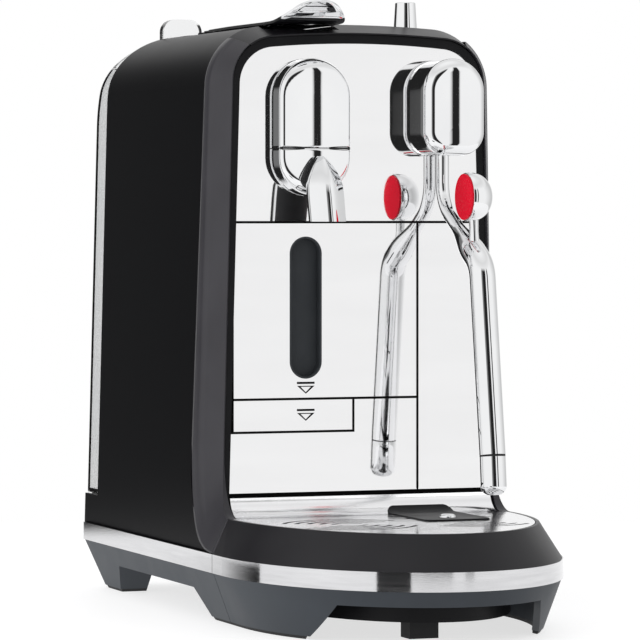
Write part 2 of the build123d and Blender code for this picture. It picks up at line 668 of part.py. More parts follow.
def pump():
    """Vibration pump lying along the floor: coil housing, pump head and outlet."""
    coil = slab(-26, 26, 20, 66, 40, 84)
    head = rod((0, 66, 62), (0, 96, 62), 15.0)
    outlet = rod((0, 4, 62), (0, 20, 62), 7.0)
    return coil + head + outlet


def pump_mounts():
    """Two rubber blocks that carry the pump above the floor."""
    return slab(-24, 24, 24, 32, CHASSIS_FLOOR, 40) + slab(-24, 24, 54, 62, CHASSIS_FLOOR, 40)


def control_board():
    """Circuit board with its transformer and relays, on the right side."""
    board = slab(66.0, 67.6, 0, 96, 100, 196)
    blocks = slab(52, 66, 8, 40, 108, 140) + slab(56, 66, 52, 70, 112, 150) + slab(58, 66, 20, 44, 160, 184)
    return board + blocks


def water_pipes():
    """Hoses: tank to pump, pump to boiler, boiler to steam head, pump to brew heater."""
    feed = [(0, VALVE_Y, 44.5), (0, VALVE_Y, 36), (0, 104, 36), (0, 104, 62), (0, 96, 62)]
    boiler = [(0, 4, 62), (0, -10, 62), (38, -10, 62), (38, -10, 196), (38, 26, 196), (38, 26, 210)]
    steam = [(24, 26, 275), (24, 26, 283), (24, -14, 283), (24, -14, 256), (36, -14, 256), (36, -22.5, 256)]
    brew = [(HEAD_X, 90, 206), (HEAD_X, 90, 62), (-15.05, 90, 62)]
    hoses = Part()
    for route in (feed, boiler, steam, brew):
        hoses += tube(route, 3.9, HOSE_R)
    return hoses


def cord_gland():
    """Collar in the rear cover where the mains cord would enter."""
    collar = rod((-55, LOWER_REAR - 3.6, 39), (-55, LOWER_REAR + 2.6, 39), 5.9)
    flange = rod((-55, LOWER_REAR - 0.5, 39), (-55, LOWER_REAR + 2.0, 39), 6.2)
    return collar + flange - rod((-55, 160, 39), (-55, 200, 39), 3.6)


def housing_screws():
    """Screws up through the floor that hold the chassis to the plinth."""
    under = PLINTH_TOP - 3.0
    return screw_group(SCREW_R, under, CHASSIS_FLOOR) + screw_group(SCREW_HEAD_R, under - 2.4, under)


# ---- Pull-out front base ---------------------------------------------------------------
def tray_plinth():
    """Plinth of the front base with the arch between its two feet."""
    outer = base_taper(PAD_TOP, PLINTH_INSET_LOW, PLINTH_TOP, PLINTH_INSET_TOP)
    inner = base_taper(PAD_TOP - 1, 15.0, PLINTH_TOP + 1, 6.5)
    low, high = ARCH_HALF_LOW, ARCH_HALF_HIGH
    arch = front_prism([(ARCH_X - low, FLOOR), (ARCH_X - high, FRONT_ARCH_TOP),
                        (ARCH_X + high, FRONT_ARCH_TOP), (ARCH_X + low, FLOOR)], -112, 80)
    return front_half(outer - inner) - arch


def tray_pads():
    """Rubber pads under the front base: one under each foot and one under the middle."""
    ring = base_taper(FLOOR, PLINTH_INSET_LOW + 1.4, PAD_TOP, PLINTH_INSET_LOW + 0.6)
    ring -= base_taper(FLOOR - 1, 14.5, PAD_TOP + 1, 14.5)
    ring = front_half(ring) - slab(ARCH_X - ARCH_HALF_LOW, ARCH_X + ARCH_HALF_LOW, -200, -112, -10, 5)
    return ring + slab(-15, 0, -140, -128, FLOOR, 6.0)


def tray_band():
    """Polished steel band round the nose."""
    ring = base_taper(PLINTH_TOP, 0, BAND_TOP, 0) - base_taper(PLINTH_TOP - 1, 1.0, BAND_TOP + 1, 1.0)
    return front_half(ring)


def apron_taper(shrink):
    """The apron's tapered outer form, drawn in all round by shrink."""
    low = base_outline(BAND_TOP, BASE_HALF - 0.6 - shrink, NOSE_Y, 0.6 + shrink - BASE_REAR, BASE_REAR)
    high = base_outline(APRON_TOP, APRON_HALF_TOP - shrink, APRON_NOSE_Y_TOP, APRON_FRONT_TOP + shrink,
                        BASE_REAR)
    return loft([low, high], ruled=True)


def tray_apron():
    """Grey ring that slopes up from the band to the drip grid."""
    hollow = base_outline(BAND_TOP - 1, 74.6, APRON_NOSE_Y_TOP, -169.1, BASE_REAR)
    return front_half(apron_taper(0) - extrude(hollow, 30))


def tray_basin():
    """Deep drip basin that hangs inside the front base and rests on the band's ledge."""
    rim = base_outline(PLINTH_TOP, BASE_HALF - 1.0, NOSE_Y, 1.0 - BASE_REAR, BASE_REAR)
    ledge = front_half(extrude(rim, BAND_TOP - PLINTH_TOP) - base_taper(20, 3.0, BAND_TOP - 3, 3.0))
    nose = base_outline(6.0, 58.0, NOSE_Y, -158, 0)
    block = extrude(nose, 41.0) & slab(-100, 100, -200, -32.0, 0, 60)
    inner = base_outline(8.0, 56.0, NOSE_Y, -156, 0)
    hollow = extrude(inner, 60.0) & slab(-100, 100, -200, -34.0, 0, 80)
    return ledge + block - hollow


def pod_outline(shrink):
    """Plan of the black sensor pod that stands up through the drip grid."""
    x0, x1, y0, y1 = 12 + shrink, 47 - shrink, -95 + shrink, -38 - shrink
    face = Pos((x0 + x1) / 2, (y0 + y1) / 2) * Rectangle(x1 - x0, y1 - y0)
    return fillet(face.vertices(), 4.0 - shrink)


def sensor_pod():
    """Black pod in the basin with the bore for the jug sensor."""
    block = extrude(Pos(0, 0, 30) * pod_outline(0), 28) & cove_below(0.7)
    legs = slab(16, 43, -92, -42, 8.0, 30)
    bore = rod((29, -80, 20), (29, -80, 60), 4.6)
    return block + legs - bore


def jug_sensor():
    """Sprung metal dome that touches the milk jug."""
    dome = rod((29, -80, 42), (29, -80, 51.8), 4.2)
    return fillet(dome.faces().sort_by(Axis.Z)[-1].edges(), 1.6)


def cove_profile(lift):
    """Side view of the space under the drip grid's upper face, raised by lift."""
    bend = 11.5
    start = (-46.0, APRON_TOP + lift)
    centre = (-46.0, APRON_TOP + bend + lift)
    mid = (centre[0] + bend * sin(radians(40)), centre[1] - bend * cos(radians(40)))
    end = (centre[0] + bend * sin(radians(80)), centre[1] - bend * cos(radians(80)))
    edge = Polyline((-200, 20), (-200, start[1]), start)
    edge += ThreePointArc(start, mid, end)
    edge += Polyline(end, (end[0] + 0.2, 20), (-200, 20))
    return make_face(edge.edges())


def cove_below(lift):
    """The solid under the drip grid's upper face."""
    return extrude(sideways(-100) * cove_profile(lift), 200)


def grid_slots():
    """Slots through the drip grid: two nests of long curved slots."""
    slots = Part()
    for side, reach in ((-1, 60), (1, 44)):
        for ring in range(5):
            for middle in (90, 270):
                arc = CenterArc((side * 31, -100), 8.0 + 6.2 * ring, middle - reach, 2 * reach)
                slots += extrude(Pos(0, 0, 40) * SlotArc(arc, 2.4), 20)
    return slots


def drip_grid():
    """Polished grid plate whose rear edge turns up in a cove in front of the panels."""
    plan = base_outline(30, 74.2, APRON_NOSE_Y_TOP, -168.7, 0)
    plate_zone = extrude(plan, 50) & slab(-100, 100, -200, SPLIT_Y - SPLIT_GAP / 2, 0, 100)
    cove_zone = slab(-70.9, 70.9, SPLIT_Y - SPLIT_GAP, 0, 0, 100)
    sheet = (cove_below(0) - cove_below(-1.1)) & (plate_zone + cove_zone) & slab(-90, 90, -200, -34.7, 48, 80)
    return sheet - grid_slots() - extrude(Pos(0, 0, 20) * pod_outline(-FIT), 60)


# ---- Capsule container and cup ledge ---------------------------------------------------
def container_area():
    """Front view of the container's polished door."""
    left = -panel_edge()
    return window(left, COLUMN_SEAM_X - SEAM / 2, LOWER_SEAM_Z + SEAM / 2, UPPER_SEAM_Z - SEAM / 2)


def recess_solid(y_back, inset):
    """The pill-shaped finger recess."""
    return pill(RECESS_X, 17.4, 118.6, 191.0, y_back, PANEL_Y - 1, inset)


def container_door():
    """Polished front of the used-capsule container."""
    return (panel_area(PANEL_LOW) & container_area()) - recess_solid(-20, 0)


def pull_recess():
    """Black finger recess let into the container's door."""
    cup = pill(RECESS_X, 17.4, 118.6, 191.0, PANEL_Y + 7.0, PANEL_Y, 0.05)
    return cup - pill(RECESS_X, 17.4, 118.6, 191.0, PANEL_Y + 5.5, PANEL_Y - 1, 1.0)


def container_bin():
    """Bin behind the door that catches used capsules; open above."""
    bin_solid = slab(-61, 28, PANEL_Y + PANEL_THICK, 70, 113, 193)
    hollow = slab(-59, 26, -20.5, 68, 115, 200)
    return bin_solid - hollow - recess_solid(-22.9, -0.1)


def ledge_front():
    """Polished front of the pull-out cup ledge."""
    area = window(-panel_edge(), LEDGE_SEAM_X - SEAM / 2, LEDGE_LOW_Z + SEAM / 2, LOWER_SEAM_Z - SEAM / 2)
    return panel_area(PANEL_LOW) & area


def ledge_shelf():
    """Pull-out shelf for a small cup, hollowed a little on top."""
    shelf = slab(-61.5, -7.5, PANEL_Y + PANEL_THICK, 50, 94, 105.6)
    return shelf - slab(-59.5, -9.5, -26, 48, 99.5, 120)


# ---- Water tank ------------------------------------------------------------------------
def tank_side(inset):
    """Side view of the tank with its rounded rear-top corner."""
    rear, top = TANK_REAR - inset, TANK_TOP - inset
    floor = TANK_FLOOR + 0.4 + inset
    corner = TANK_CORNER - inset
    middle = (rear - corner, top - corner)
    mid_arc = (middle[0] + corner * cos(radians(45)), middle[1] + corner * sin(radians(45)))
    outline = Polyline((middle[0], top), (110, top), (110, floor), (rear, floor), (rear, middle[1]))
    outline += ThreePointArc((rear, middle[1]), mid_arc, (middle[0], top))
    return make_face(outline.edges())


def tank_solid(inset):
    """The tank: a full-width part that hugs the wrap's rear edge and a part inside the body."""
    side = extrude(sideways(-100) * tank_side(inset), 200)
    hood = body_solid(110, 200, 0.8 + inset, inset + 1, TANK_FLOOR - 4)
    hood -= extrude(sideways(-100) * wrap_profile(-0.8 - inset), 200)
    inside = slab(inset - TANK_HALF_IN, TANK_HALF_IN - inset, TANK_FRONT + inset, 200, 40, 310)
    return side & (hood + inside)


def water_tank():
    """Clear water tank, open at the top and with a valve port below."""
    shell = tank_solid(0) - tank_solid(TANK_WALL)
    port = rod((0, VALVE_Y, 40), (0, VALVE_Y, 60), 5.0)
    return (shell & slab(-100, 100, 0, 300, 0, TANK_MOUTH)) - port


def tank_lid():
    """Clear lid with a raised thumb grip."""
    cap = (tank_solid(0) - tank_solid(TANK_WALL)) & slab(-100, 100, 0, 300, TANK_MOUTH + FIT, 310)
    grip = slab(-49, -27, 141.5, 148.5, TANK_TOP - 1, 309)
    return cap + fillet(grip.edges().filter_by(Axis.Y).group_by(Axis.Z)[-1], 7.0)


def tank_valve():
    """Sprung valve in the tank's floor that opens when the tank is seated."""
    stem = rod((0, VALVE_Y, TANK_FLOOR - 1.8), (0, VALVE_Y, 62), 2.0)
    collar = rod((0, VALVE_Y, 51.2), (0, VALVE_Y, 55.2), 7.0)
    return stem + collar


NODES = {
    "base_plinth": base_plinth,
    "base_feet": base_feet,
    "foot_pads": foot_pads,
    "base_band": base_band,
    "chassis_plate": chassis_plate,
    "outer_wrap": outer_wrap,
    "tank_bay": tank_bay,
    "bezel_left": lambda: bezel_side(-1),
    "bezel_right": lambda: bezel_side(1),
    "bezel_top": bezel_top,
    "inner_bezel": inner_bezel,
    "front_bulkhead": front_bulkhead,
    "upper_front_panel": upper_front_panel,
    "right_front_panel": right_front_panel,
    "lower_front_panel": lower_front_panel,
    "top_deck": top_deck,
    "display_window": display_window,
    "brew_head_shell": brew_head_shell,
    "brew_head_lower": brew_head_lower,
    "brew_head_gasket": brew_head_gasket,
    "coffee_spout": coffee_spout,
    "steam_head_shell": steam_head_shell,
    "steam_bracket": steam_bracket,
    "lever_pin": lever_pin,
    "brew_frame": brew_frame,
    "dial_encoder": dial_encoder,
    "brew_thermoblock": brew_thermoblock,
    "steam_boiler": steam_boiler,
    "pump": pump,
    "pump_mounts": pump_mounts,
    "control_board": control_board,
    "water_pipes": water_pipes,
    "cord_gland": cord_gland,
    "housing_screws": housing_screws,
    "wand_ball": wand_ball,
    "wand_tube": wand_tube,
    "wand_sleeve": wand_sleeve,
    "wand_tip": wand_tip,
    "wand_knob": wand_knob,
    "wand_knob_disc": wand_knob_disc,
    "lever_arm": lever_arm,
    "capsule_cage": capsule_cage,
    "selection_dial": selection_dial,
    "start_button": start_button,
    "tray_plinth": tray_plinth,
    "tray_pads": tray_pads,
    "tray_band": tray_band,
    "tray_apron": tray_apron,
    "tray_basin": tray_basin,
    "sensor_pod": sensor_pod,
    "jug_sensor": jug_sensor,
    "drip_grid": drip_grid,
    "container_door": container_door,
    "pull_recess": pull_recess,
    "container_bin": container_bin,
    "ledge_front": ledge_front,
    "ledge_shelf": ledge_shelf,
    "water_tank": water_tank,
    "tank_lid": tank_lid,
    "tank_valve": tank_valve,
}


def main():
    os.makedirs("parts", exist_ok=True)
    for name, make in NODES.items():
        export_step(Pos(0, 0, LIFT) * make(), f"parts/{name}.step")


main()
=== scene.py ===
import json
import math

import bmesh
import bpy
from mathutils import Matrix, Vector

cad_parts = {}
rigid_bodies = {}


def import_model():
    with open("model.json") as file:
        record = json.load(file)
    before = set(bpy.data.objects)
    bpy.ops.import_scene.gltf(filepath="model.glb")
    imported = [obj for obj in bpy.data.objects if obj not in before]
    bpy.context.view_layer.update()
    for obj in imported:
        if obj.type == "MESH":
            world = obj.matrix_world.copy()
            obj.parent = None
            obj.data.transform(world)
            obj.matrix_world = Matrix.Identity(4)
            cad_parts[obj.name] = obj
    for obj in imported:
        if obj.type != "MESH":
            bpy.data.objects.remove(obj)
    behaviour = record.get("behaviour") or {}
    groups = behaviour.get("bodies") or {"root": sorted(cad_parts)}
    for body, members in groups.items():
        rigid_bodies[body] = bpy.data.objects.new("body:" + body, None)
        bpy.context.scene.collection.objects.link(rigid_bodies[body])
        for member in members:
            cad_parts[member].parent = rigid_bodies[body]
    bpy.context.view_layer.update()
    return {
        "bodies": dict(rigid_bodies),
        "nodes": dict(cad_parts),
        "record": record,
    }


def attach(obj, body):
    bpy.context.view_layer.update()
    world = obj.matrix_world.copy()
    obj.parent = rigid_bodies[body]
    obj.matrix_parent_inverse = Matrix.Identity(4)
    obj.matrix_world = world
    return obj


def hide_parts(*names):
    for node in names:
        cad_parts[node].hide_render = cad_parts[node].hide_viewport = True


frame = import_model()
scene = bpy.context.scene
nodes = frame["nodes"]
MM = 0.001


# ---- Materials -------------------------------------------------------------------------
def surface(name, dark, light, metallic=0.0, rough=(0.3, 0.4), grain=60.0, stretch=(1, 1, 1),
            bump=0.0, bump_scale=900.0, specular=0.5, coat=0.0, transmission=0.0, ior=1.45):
    """A finish whose colour and roughness vary between two values over its grain, with fine bump."""
    mat = bpy.data.materials.new(name)
    mat.use_nodes = True
    tree = mat.node_tree
    shader = tree.nodes["Principled BSDF"]
    shader.inputs["Metallic"].default_value = metallic
    shader.inputs["Specular IOR Level"].default_value = specular
    shader.inputs["Coat Weight"].default_value = coat
    shader.inputs["Coat Roughness"].default_value = 0.05
    shader.inputs["Transmission Weight"].default_value = transmission
    shader.inputs["IOR"].default_value = ior
    place = tree.nodes.new("ShaderNodeTexCoord")
    spread = tree.nodes.new("ShaderNodeMapping")
    spread.inputs["Scale"].default_value = stretch
    tree.links.new(place.outputs["Object"], spread.inputs["Vector"])
    cloud = tree.nodes.new("ShaderNodeTexNoise")
    cloud.inputs["Scale"].default_value = grain
    cloud.inputs["Detail"].default_value = 6.0
    tree.links.new(spread.outputs["Vector"], cloud.inputs["Vector"])
    tint = tree.nodes.new("ShaderNodeValToRGB")
    tint.color_ramp.elements[0].position = 0.3
    tint.color_ramp.elements[1].position = 0.7
    tint.color_ramp.elements[0].color = (*dark, 1)
    tint.color_ramp.elements[1].color = (*light, 1)
    tree.links.new(cloud.outputs["Fac"], tint.inputs["Fac"])
    tree.links.new(tint.outputs["Color"], shader.inputs["Base Color"])
    dull = tree.nodes.new("ShaderNodeMapRange")
    dull.inputs["From Min"].default_value = 0.3
    dull.inputs["From Max"].default_value = 0.7
    dull.inputs["To Min"].default_value = rough[0]
    dull.inputs["To Max"].default_value = rough[1]
    tree.links.new(cloud.outputs["Fac"], dull.inputs["Value"])
    tree.links.new(dull.outputs["Result"], shader.inputs["Roughness"])
    if bump:
        pits = tree.nodes.new("ShaderNodeTexNoise")
        pits.inputs["Scale"].default_value = bump_scale
        pits.inputs["Detail"].default_value = 2.0
        tree.links.new(spread.outputs["Vector"], pits.inputs["Vector"])
        relief = tree.nodes.new("ShaderNodeBump")
        relief.inputs["Strength"].default_value = bump
        relief.inputs["Distance"].default_value = 0.0002
        tree.links.new(pits.outputs["Fac"], relief.inputs["Height"])
        tree.links.new(relief.outputs["Normal"], shader.inputs["Normal"])
    return mat


LOOKS = {
    "satin_black": surface("satin_black_paint", (.0020, .0020, .0026), (.0022, .0022, .0028),
                           rough=(.30, .31), grain=60, bump=.02, bump_scale=1400, specular=.035),
    "frame_grey": surface("frame_grey_paint", (.009, .0085, .0105), (.012, .0115, .0135), rough=(.34, .42),
                          grain=30, bump=.08, bump_scale=1600, specular=.32),
    "polished_steel": surface("polished_steel", (.86, .86, .865), (.89, .89, .895), metallic=1,
                              rough=(.02, .045), grain=12, stretch=(1, 1, 6), bump=.004, bump_scale=260),
    "chrome": surface("chrome_plate", (.84, .845, .855), (.88, .885, .89), metallic=1,
                      rough=(.015, .04), grain=40, bump=.004, bump_scale=300),
    "steel": surface("machined_steel", (.45, .46, .47), (.58, .59, .60), metallic=1,
                     rough=(.25, .35), grain=90, stretch=(1, 8, 1), bump=.1),
    "black_plastic": surface("black_plastic", (.006, .006, .007), (.010, .010, .011),
                             rough=(.38, .5), grain=50, bump=.12, bump_scale=1300, specular=.16),
    "gloss_black": surface("gloss_black", (.006, .006, .007), (.009, .009, .010),
                           rough=(.05, .1), grain=20, coat=.6),
    "plinth_plastic": surface("plinth_plastic", (.028, .033, .040), (.036, .042, .050),
                              rough=(.45, .55), grain=45, bump=.15, bump_scale=1300, specular=.3),
    "red_inlay": surface("red_enamel", (.54, .003, .016), (.66, .005, .024),
                         rough=(.2, .3), grain=30, specular=.1),
    "clear_plastic": surface("clear_plastic", (.97, .98, .985), (1, 1, 1), rough=(.02, .05),
                             grain=15, transmission=1, ior=1.45),
    "rubber": surface("soft_rubber", (.012, .012, .013), (.02, .02, .021), rough=(.6, .75),
                      grain=120, bump=.25, bump_scale=1800, specular=.3),
    "cast_aluminium": surface("cast_aluminium", (.45, .46, .47), (.62, .63, .64), metallic=1,
                              rough=(.4, .55), grain=200, bump=.4, bump_scale=700),
    "grey_plastic": surface("grey_plastic", (.27, .28, .29), (.33, .34, .35), rough=(.4, .5),
                            grain=50, bump=.12),
    "board": surface("circuit_board", (.012, .11, .045), (.02, .16, .07), rough=(.3, .45), grain=300),
    "hose": surface("silicone_hose", (.62, .63, .62), (.72, .73, .72), rough=(.4, .5), grain=60,
                    bump=.1),
}
LOOKS["recess_grey"] = surface("recess_grey", (.030, .034, .038), (.040, .044, .049), rough=(.4, .5),
                               grain=50, bump=.1, specular=.2)
# Near-black finish; on the polished panels' side faces it is painted shade for the joints between them.
LOOKS["dark_edge"] = surface("dark_edge", (.003, .003, .003), (.005, .005, .005), rough=(.6, .7),
                             grain=50, specular=.05)
# A lighter copy of the frame's grey paint for the two pillars: painted light, the same paint as the top arch
# shown brighter where light falls on the pillars.
LOOKS["pillar_grey_painted_light"] = surface("pillar_grey_painted_light", (.026, .025, .029), (.034, .033, .038), rough=(.34, .42),
                               grain=30, bump=.08, bump_scale=1600, specular=.36)
LOOKS["band_steel"] = surface("band_steel", (.60, .60, .61), (.70, .70, .71), metallic=1, rough=(.05, .12),
                              grain=30, stretch=(1, 1, 14), bump=.02, bump_scale=300)
LOOKS["brushed_tray"] = surface("brushed_tray", (.90, .90, .91), (.96, .96, .97), metallic=1,
                                rough=(.10, .19), grain=35, stretch=(1, 5, 1), bump=.02, bump_scale=320)
slot_of = {row["node"]: row["material_slot"] for row in frame["record"]["subparts"]}
for name, node in nodes.items():
    node.data.materials.clear()
    node.data.materials.append(LOOKS[slot_of[name]])
nodes["pull_recess"].data.materials[0] = LOOKS["recess_grey"]
nodes["front_bulkhead"].data.materials[0] = LOOKS["dark_edge"]
for name in ("base_band", "tray_band"):
    nodes[name].data.materials[0] = LOOKS["band_steel"]
nodes["drip_grid"].data.materials[0] = LOOKS["brushed_tray"]
PANELS = ("upper_front_panel", "right_front_panel", "lower_front_panel", "container_door", "ledge_front")
# The side faces of the polished panels take the near-black dark_edge finish instead of their steel: painted
# shade for the joints between the panels.
for name in PANELS:
    nodes[name].data.materials.append(LOOKS["dark_edge"])
    for face in nodes[name].data.polygons:
        face.material_index = 0 if abs(face.normal.y) > .5 else 1


# ---- Studio ----------------------------------------------------------------------------
# brightness by compass direction in degrees: 0 is straight ahead of the front, 90 is towards +X
SKY_RING = [(-180, 1.0), (-174, .9), (-170, .06), (-163, .05), (-127, .03), (-122, .9), (-100, 1.0),
            (-34, 1.0), (-31, .22), (-22.5, .2), (-21.5, .02), (3, .02), (5, 1.0), (15, 1.0), (16.5, .02),
            (24, .02), (25.5, 1.0), (60, 1.0), (95, .75), (120, .6), (150, .9), (180, 1.0)]
# the height, as the upward part of a direction, over which the ring gives way to the dome
SKY_GAP_TOP = (0.50, 0.64)
SKY_DOME = [(0, 1.0), (.5, 1.0), (.62, .92), (.8, .8), (.93, .9), (1.0, 1.0)]


def fill_ramp(ramp, stops):
    """Set a colour ramp to grey stops, each a position and a value."""
    while len(ramp.elements) < len(stops):
        ramp.elements.new(0.5)
    for element, (position, value) in zip(ramp.elements, stops):
        element.position = position
        element.color = (value, value, value, 1)


def studio_sky():
    """White surroundings with soft dark gaps between the light banks, by compass direction."""
    world = bpy.data.worlds.new("studio")
    scene.world = world
    world.use_nodes = True
    tree = world.node_tree
    back = tree.nodes["Background"]
    place = tree.nodes.new("ShaderNodeTexCoord")
    split = tree.nodes.new("ShaderNodeSeparateXYZ")
    tree.links.new(place.outputs["Generated"], split.inputs["Vector"])
    flip = tree.nodes.new("ShaderNodeMath")
    flip.operation = "MULTIPLY"
    flip.inputs[1].default_value = -1
    tree.links.new(split.outputs["Y"], flip.inputs[0])
    compass = tree.nodes.new("ShaderNodeMath")
    compass.operation = "ARCTAN2"
    tree.links.new(split.outputs["X"], compass.inputs[0])
    tree.links.new(flip.outputs[0], compass.inputs[1])
    share = tree.nodes.new("ShaderNodeMapRange")
    share.inputs["From Min"].default_value = -math.pi
    share.inputs["From Max"].default_value = math.pi
    tree.links.new(compass.outputs[0], share.inputs["Value"])
    ring = tree.nodes.new("ShaderNodeValToRGB")
    fill_ramp(ring.color_ramp, [((degrees + 180) / 360, value) for degrees, value in SKY_RING])
    tree.links.new(share.outputs["Result"], ring.inputs["Fac"])
    lift = tree.nodes.new("ShaderNodeMapRange")     # the dark gaps stop well above the horizon
    lift.inputs["From Min"].default_value = SKY_GAP_TOP[0]
    lift.inputs["From Max"].default_value = SKY_GAP_TOP[1]
    tree.links.new(split.outputs["Z"], lift.inputs["Value"])
    dome = tree.nodes.new("ShaderNodeValToRGB")
    fill_ramp(dome.color_ramp, SKY_DOME)
    tree.links.new(split.outputs["Z"], dome.inputs["Fac"])
    mix = tree.nodes.new("ShaderNodeMix")
    mix.data_type = "RGBA"
    tree.links.new(lift.outputs["Result"], mix.inputs["Factor"])
    tree.links.new(ring.outputs["Color"], mix.inputs["A"])
    tree.links.new(dome.outputs["Color"], mix.inputs["B"])
    seen = tree.nodes.new("ShaderNodeLightPath")    # only mirror-like rays see the gaps
    plain = tree.nodes.new("ShaderNodeMix")
    plain.data_type = "RGBA"
    plain.inputs["A"].default_value = (1, 1, 1, 1)
    tree.links.new(seen.outputs["Is Glossy Ray"], plain.inputs["Factor"])
    tree.links.new(mix.outputs["Result"], plain.inputs["B"])
    tree.links.new(plain.outputs["Result"], back.inputs["Color"])
    back.inputs["Strength"].default_value = 1.0
    world.cycles.sampling_method = "NONE"


studio_sky()
scene.view_settings.view_transform = "Standard"


CAMERA = Vector((-0.7232, -1.9389, 0.2079))
AHEAD = Vector((0.3453, 0.9385, 0.0))


def add_camera():
    """A long lens held level, shifted down so that upright edges stay upright."""
    data = bpy.data.cameras.new("camera")
    data.sensor_width = 36.0
    data.lens = 224.4375
    data.shift_y = -0.171875
    data.clip_start = 0.05
    cam = bpy.data.objects.new("camera", data)
    scene.collection.objects.link(cam)
    cam.location = CAMERA
    cam.rotation_mode = "QUATERNION"
    cam.rotation_quaternion = AHEAD.to_track_quat("-Z", "Y")
    scene.camera = cam


add_camera()


def pale_floor():
    """Bright round floor that fades out at its rim."""
    mesh = bpy.data.meshes.new("floor")
    bm = bmesh.new()
    bmesh.ops.create_grid(bm, x_segments=1, y_segments=1, size=1.2)
    bm.to_mesh(mesh)
    bm.free()
    floor = bpy.data.objects.new("floor", mesh)
    scene.collection.objects.link(floor)
    mat = bpy.data.materials.new("pale_floor")
    mat.use_nodes = True
    tree = mat.node_tree
    shader = tree.nodes["Principled BSDF"]
    shader.inputs["Base Color"].default_value = (.34, .34, .345, 1)
    shader.inputs["Emission Color"].default_value = (1, 1, 1, 1)
    shader.inputs["Emission Strength"].default_value = .7
    shader.inputs["Roughness"].default_value = .6
    shader.inputs["Specular IOR Level"].default_value = .1
    place = tree.nodes.new("ShaderNodeTexCoord")
    reach = tree.nodes.new("ShaderNodeVectorMath")
    reach.operation = "LENGTH"
    tree.links.new(place.outputs["Object"], reach.inputs[0])
    fade = tree.nodes.new("ShaderNodeMapRange")
    fade.inputs["From Min"].default_value = .53
    fade.inputs["From Max"].default_value = .62
    fade.inputs["To Min"].default_value = 1
    fade.inputs["To Max"].default_value = 0
    tree.links.new(reach.outputs["Value"], fade.inputs["Value"])
    tree.links.new(fade.outputs["Result"], shader.inputs["Alpha"])
    mesh.materials.append(mat)


pale_floor()


def panel_softbox():
    """A broad soft light, ahead and to the right, that only the polished panels and the grid receive."""
    data = bpy.data.lights.new("panel_softbox", "AREA")
    data.shape = "RECTANGLE"
    data.size, data.size_y = .34, .9
    data.energy = 0.96 * math.pi * data.size * data.size_y
    lamp = bpy.data.objects.new("panel_softbox", data)
    scene.collection.objects.link(lamp)
    lamp.location = (.345, -.97, .17)
    lamp.rotation_euler = (Vector((0, -.03, .15)) - lamp.location).to_track_quat("-Z", "Y").to_euler()
    lamp.visible_camera = False
    lit = bpy.data.collections.new("panel_softbox_receivers")
    for name in (*PANELS, "drip_grid"):
        lit.objects.link(nodes[name])
    lamp.light_linking.receiver_collection = lit


panel_softbox()


def side_softbox():
    """Large soft light on the viewer's left."""
    data = bpy.data.lights.new("side_softbox", "AREA")
    data.shape = "RECTANGLE"
    data.size, data.size_y = 1.0, .8
    data.energy = 9
    lamp = bpy.data.objects.new("side_softbox", data)
    scene.collection.objects.link(lamp)
    lamp.location = (-1.3, .1, .35)
    lamp.rotation_euler = (Vector((0, 0, .08)) - lamp.location).to_track_quat("-Z", "Y").to_euler()
    lamp.visible_camera = False
    lamp.visible_glossy = False


side_softbox()


# ---- Shapes drawn finer than the CAD -----------------------------------------------------
LIFT = 3.4                  # the height of the CAD's datum over the surface the machine stands on
HEAD_X, WAND_X = -27.6, 43.0
LEVER_X = -28.0
LEVER_PIN = (78, 296.6)     # Y and Z, like the places after it, down to WAND_TOP
KNOB_AXIS = (-79.9, 211.1)
UPPER_BEND, LOWER_BEND, COLLAR, TIP = (-38.4, 207.8), (-91.2, 176.8), (-105.0, 82.6), (-107.0, 62.4)
WAND_TOP = (-38.4, 238.0)
TUBE_R, SLEEVE_R = 3.45, 6.6
HEAD_SEAM = (235.65, 236.0)     # heights of the joint's two edges
STEAM_TOP = 265.2           # centre of the steam head's round top
PANEL_Y = -30.0
COLUMN_X = 32.5             # joint beside the right column
UPPER_JOINT, CONTAINER_JOINT, LEDGE_JOINT = 198.3, 108.4, 91.7
LEDGE_X = -2.7              # right end of the ledge
SHOULDER_R, CROWN_R, CROWN_Z = 31.0, 724.0, 300
BODY_HALF, BODY_DRAFT, BAND_TOP = 82.5, .0257, 32.3
DRAFTED_FACE = 1.0003       # length along the drafted side for each unit of height
WRAP_LOW, WRAP_SWEEP = -3.6, 72
FRAME_FRONT, FRAME_STEP, FRAME_TAPER = -32, -12, .375
BASE_SPLIT_Y = -47.75


def at(x, y, z):
    """A point given in millimetres, with its height over the datum."""
    return Vector((x, y, z + LIFT)) * MM


def smooth(mesh, degrees=32):
    """Smooth shading with sharp edges kept where faces meet at a large angle."""
    for face in mesh.polygons:
        face.use_smooth = True
    mesh.set_sharp_from_angle(angle=math.radians(degrees))


for node in nodes.values():
    smooth(node.data)


def add_piece(name, look, points, faces, degrees=32):
    """A new mesh object from points and faces, in one finish."""
    mesh = bpy.data.meshes.new(name)
    mesh.from_pydata(points, [], faces)
    bm = bmesh.new()
    bm.from_mesh(mesh)
    bmesh.ops.remove_doubles(bm, verts=bm.verts, dist=1e-6)
    bmesh.ops.recalc_face_normals(bm, faces=bm.faces)
    bm.to_mesh(mesh)
    bm.free()
    smooth(mesh, degrees)
    mesh.materials.append(LOOKS[look])
    piece = bpy.data.objects.new(name, mesh)
    scene.collection.objects.link(piece)
    return piece


def skin(rings, ends=(False, False)):
    """Points and faces of a skin over closed rings that all have the same number of points."""
    count = len(rings[0])
    points = [p for ring in rings for p in ring]
    faces = []
    for row in range(len(rings) - 1):
        for i in range(count):
            j = (i + 1) % count
            faces.append((row * count + i, row * count + j, (row + 1) * count + j, (row + 1) * count + i))
    if ends[0]:
        faces.append(tuple(range(count))[::-1])
    if ends[1]:
        faces.append(tuple((len(rings) - 1) * count + i for i in range(count)))
    return points, faces


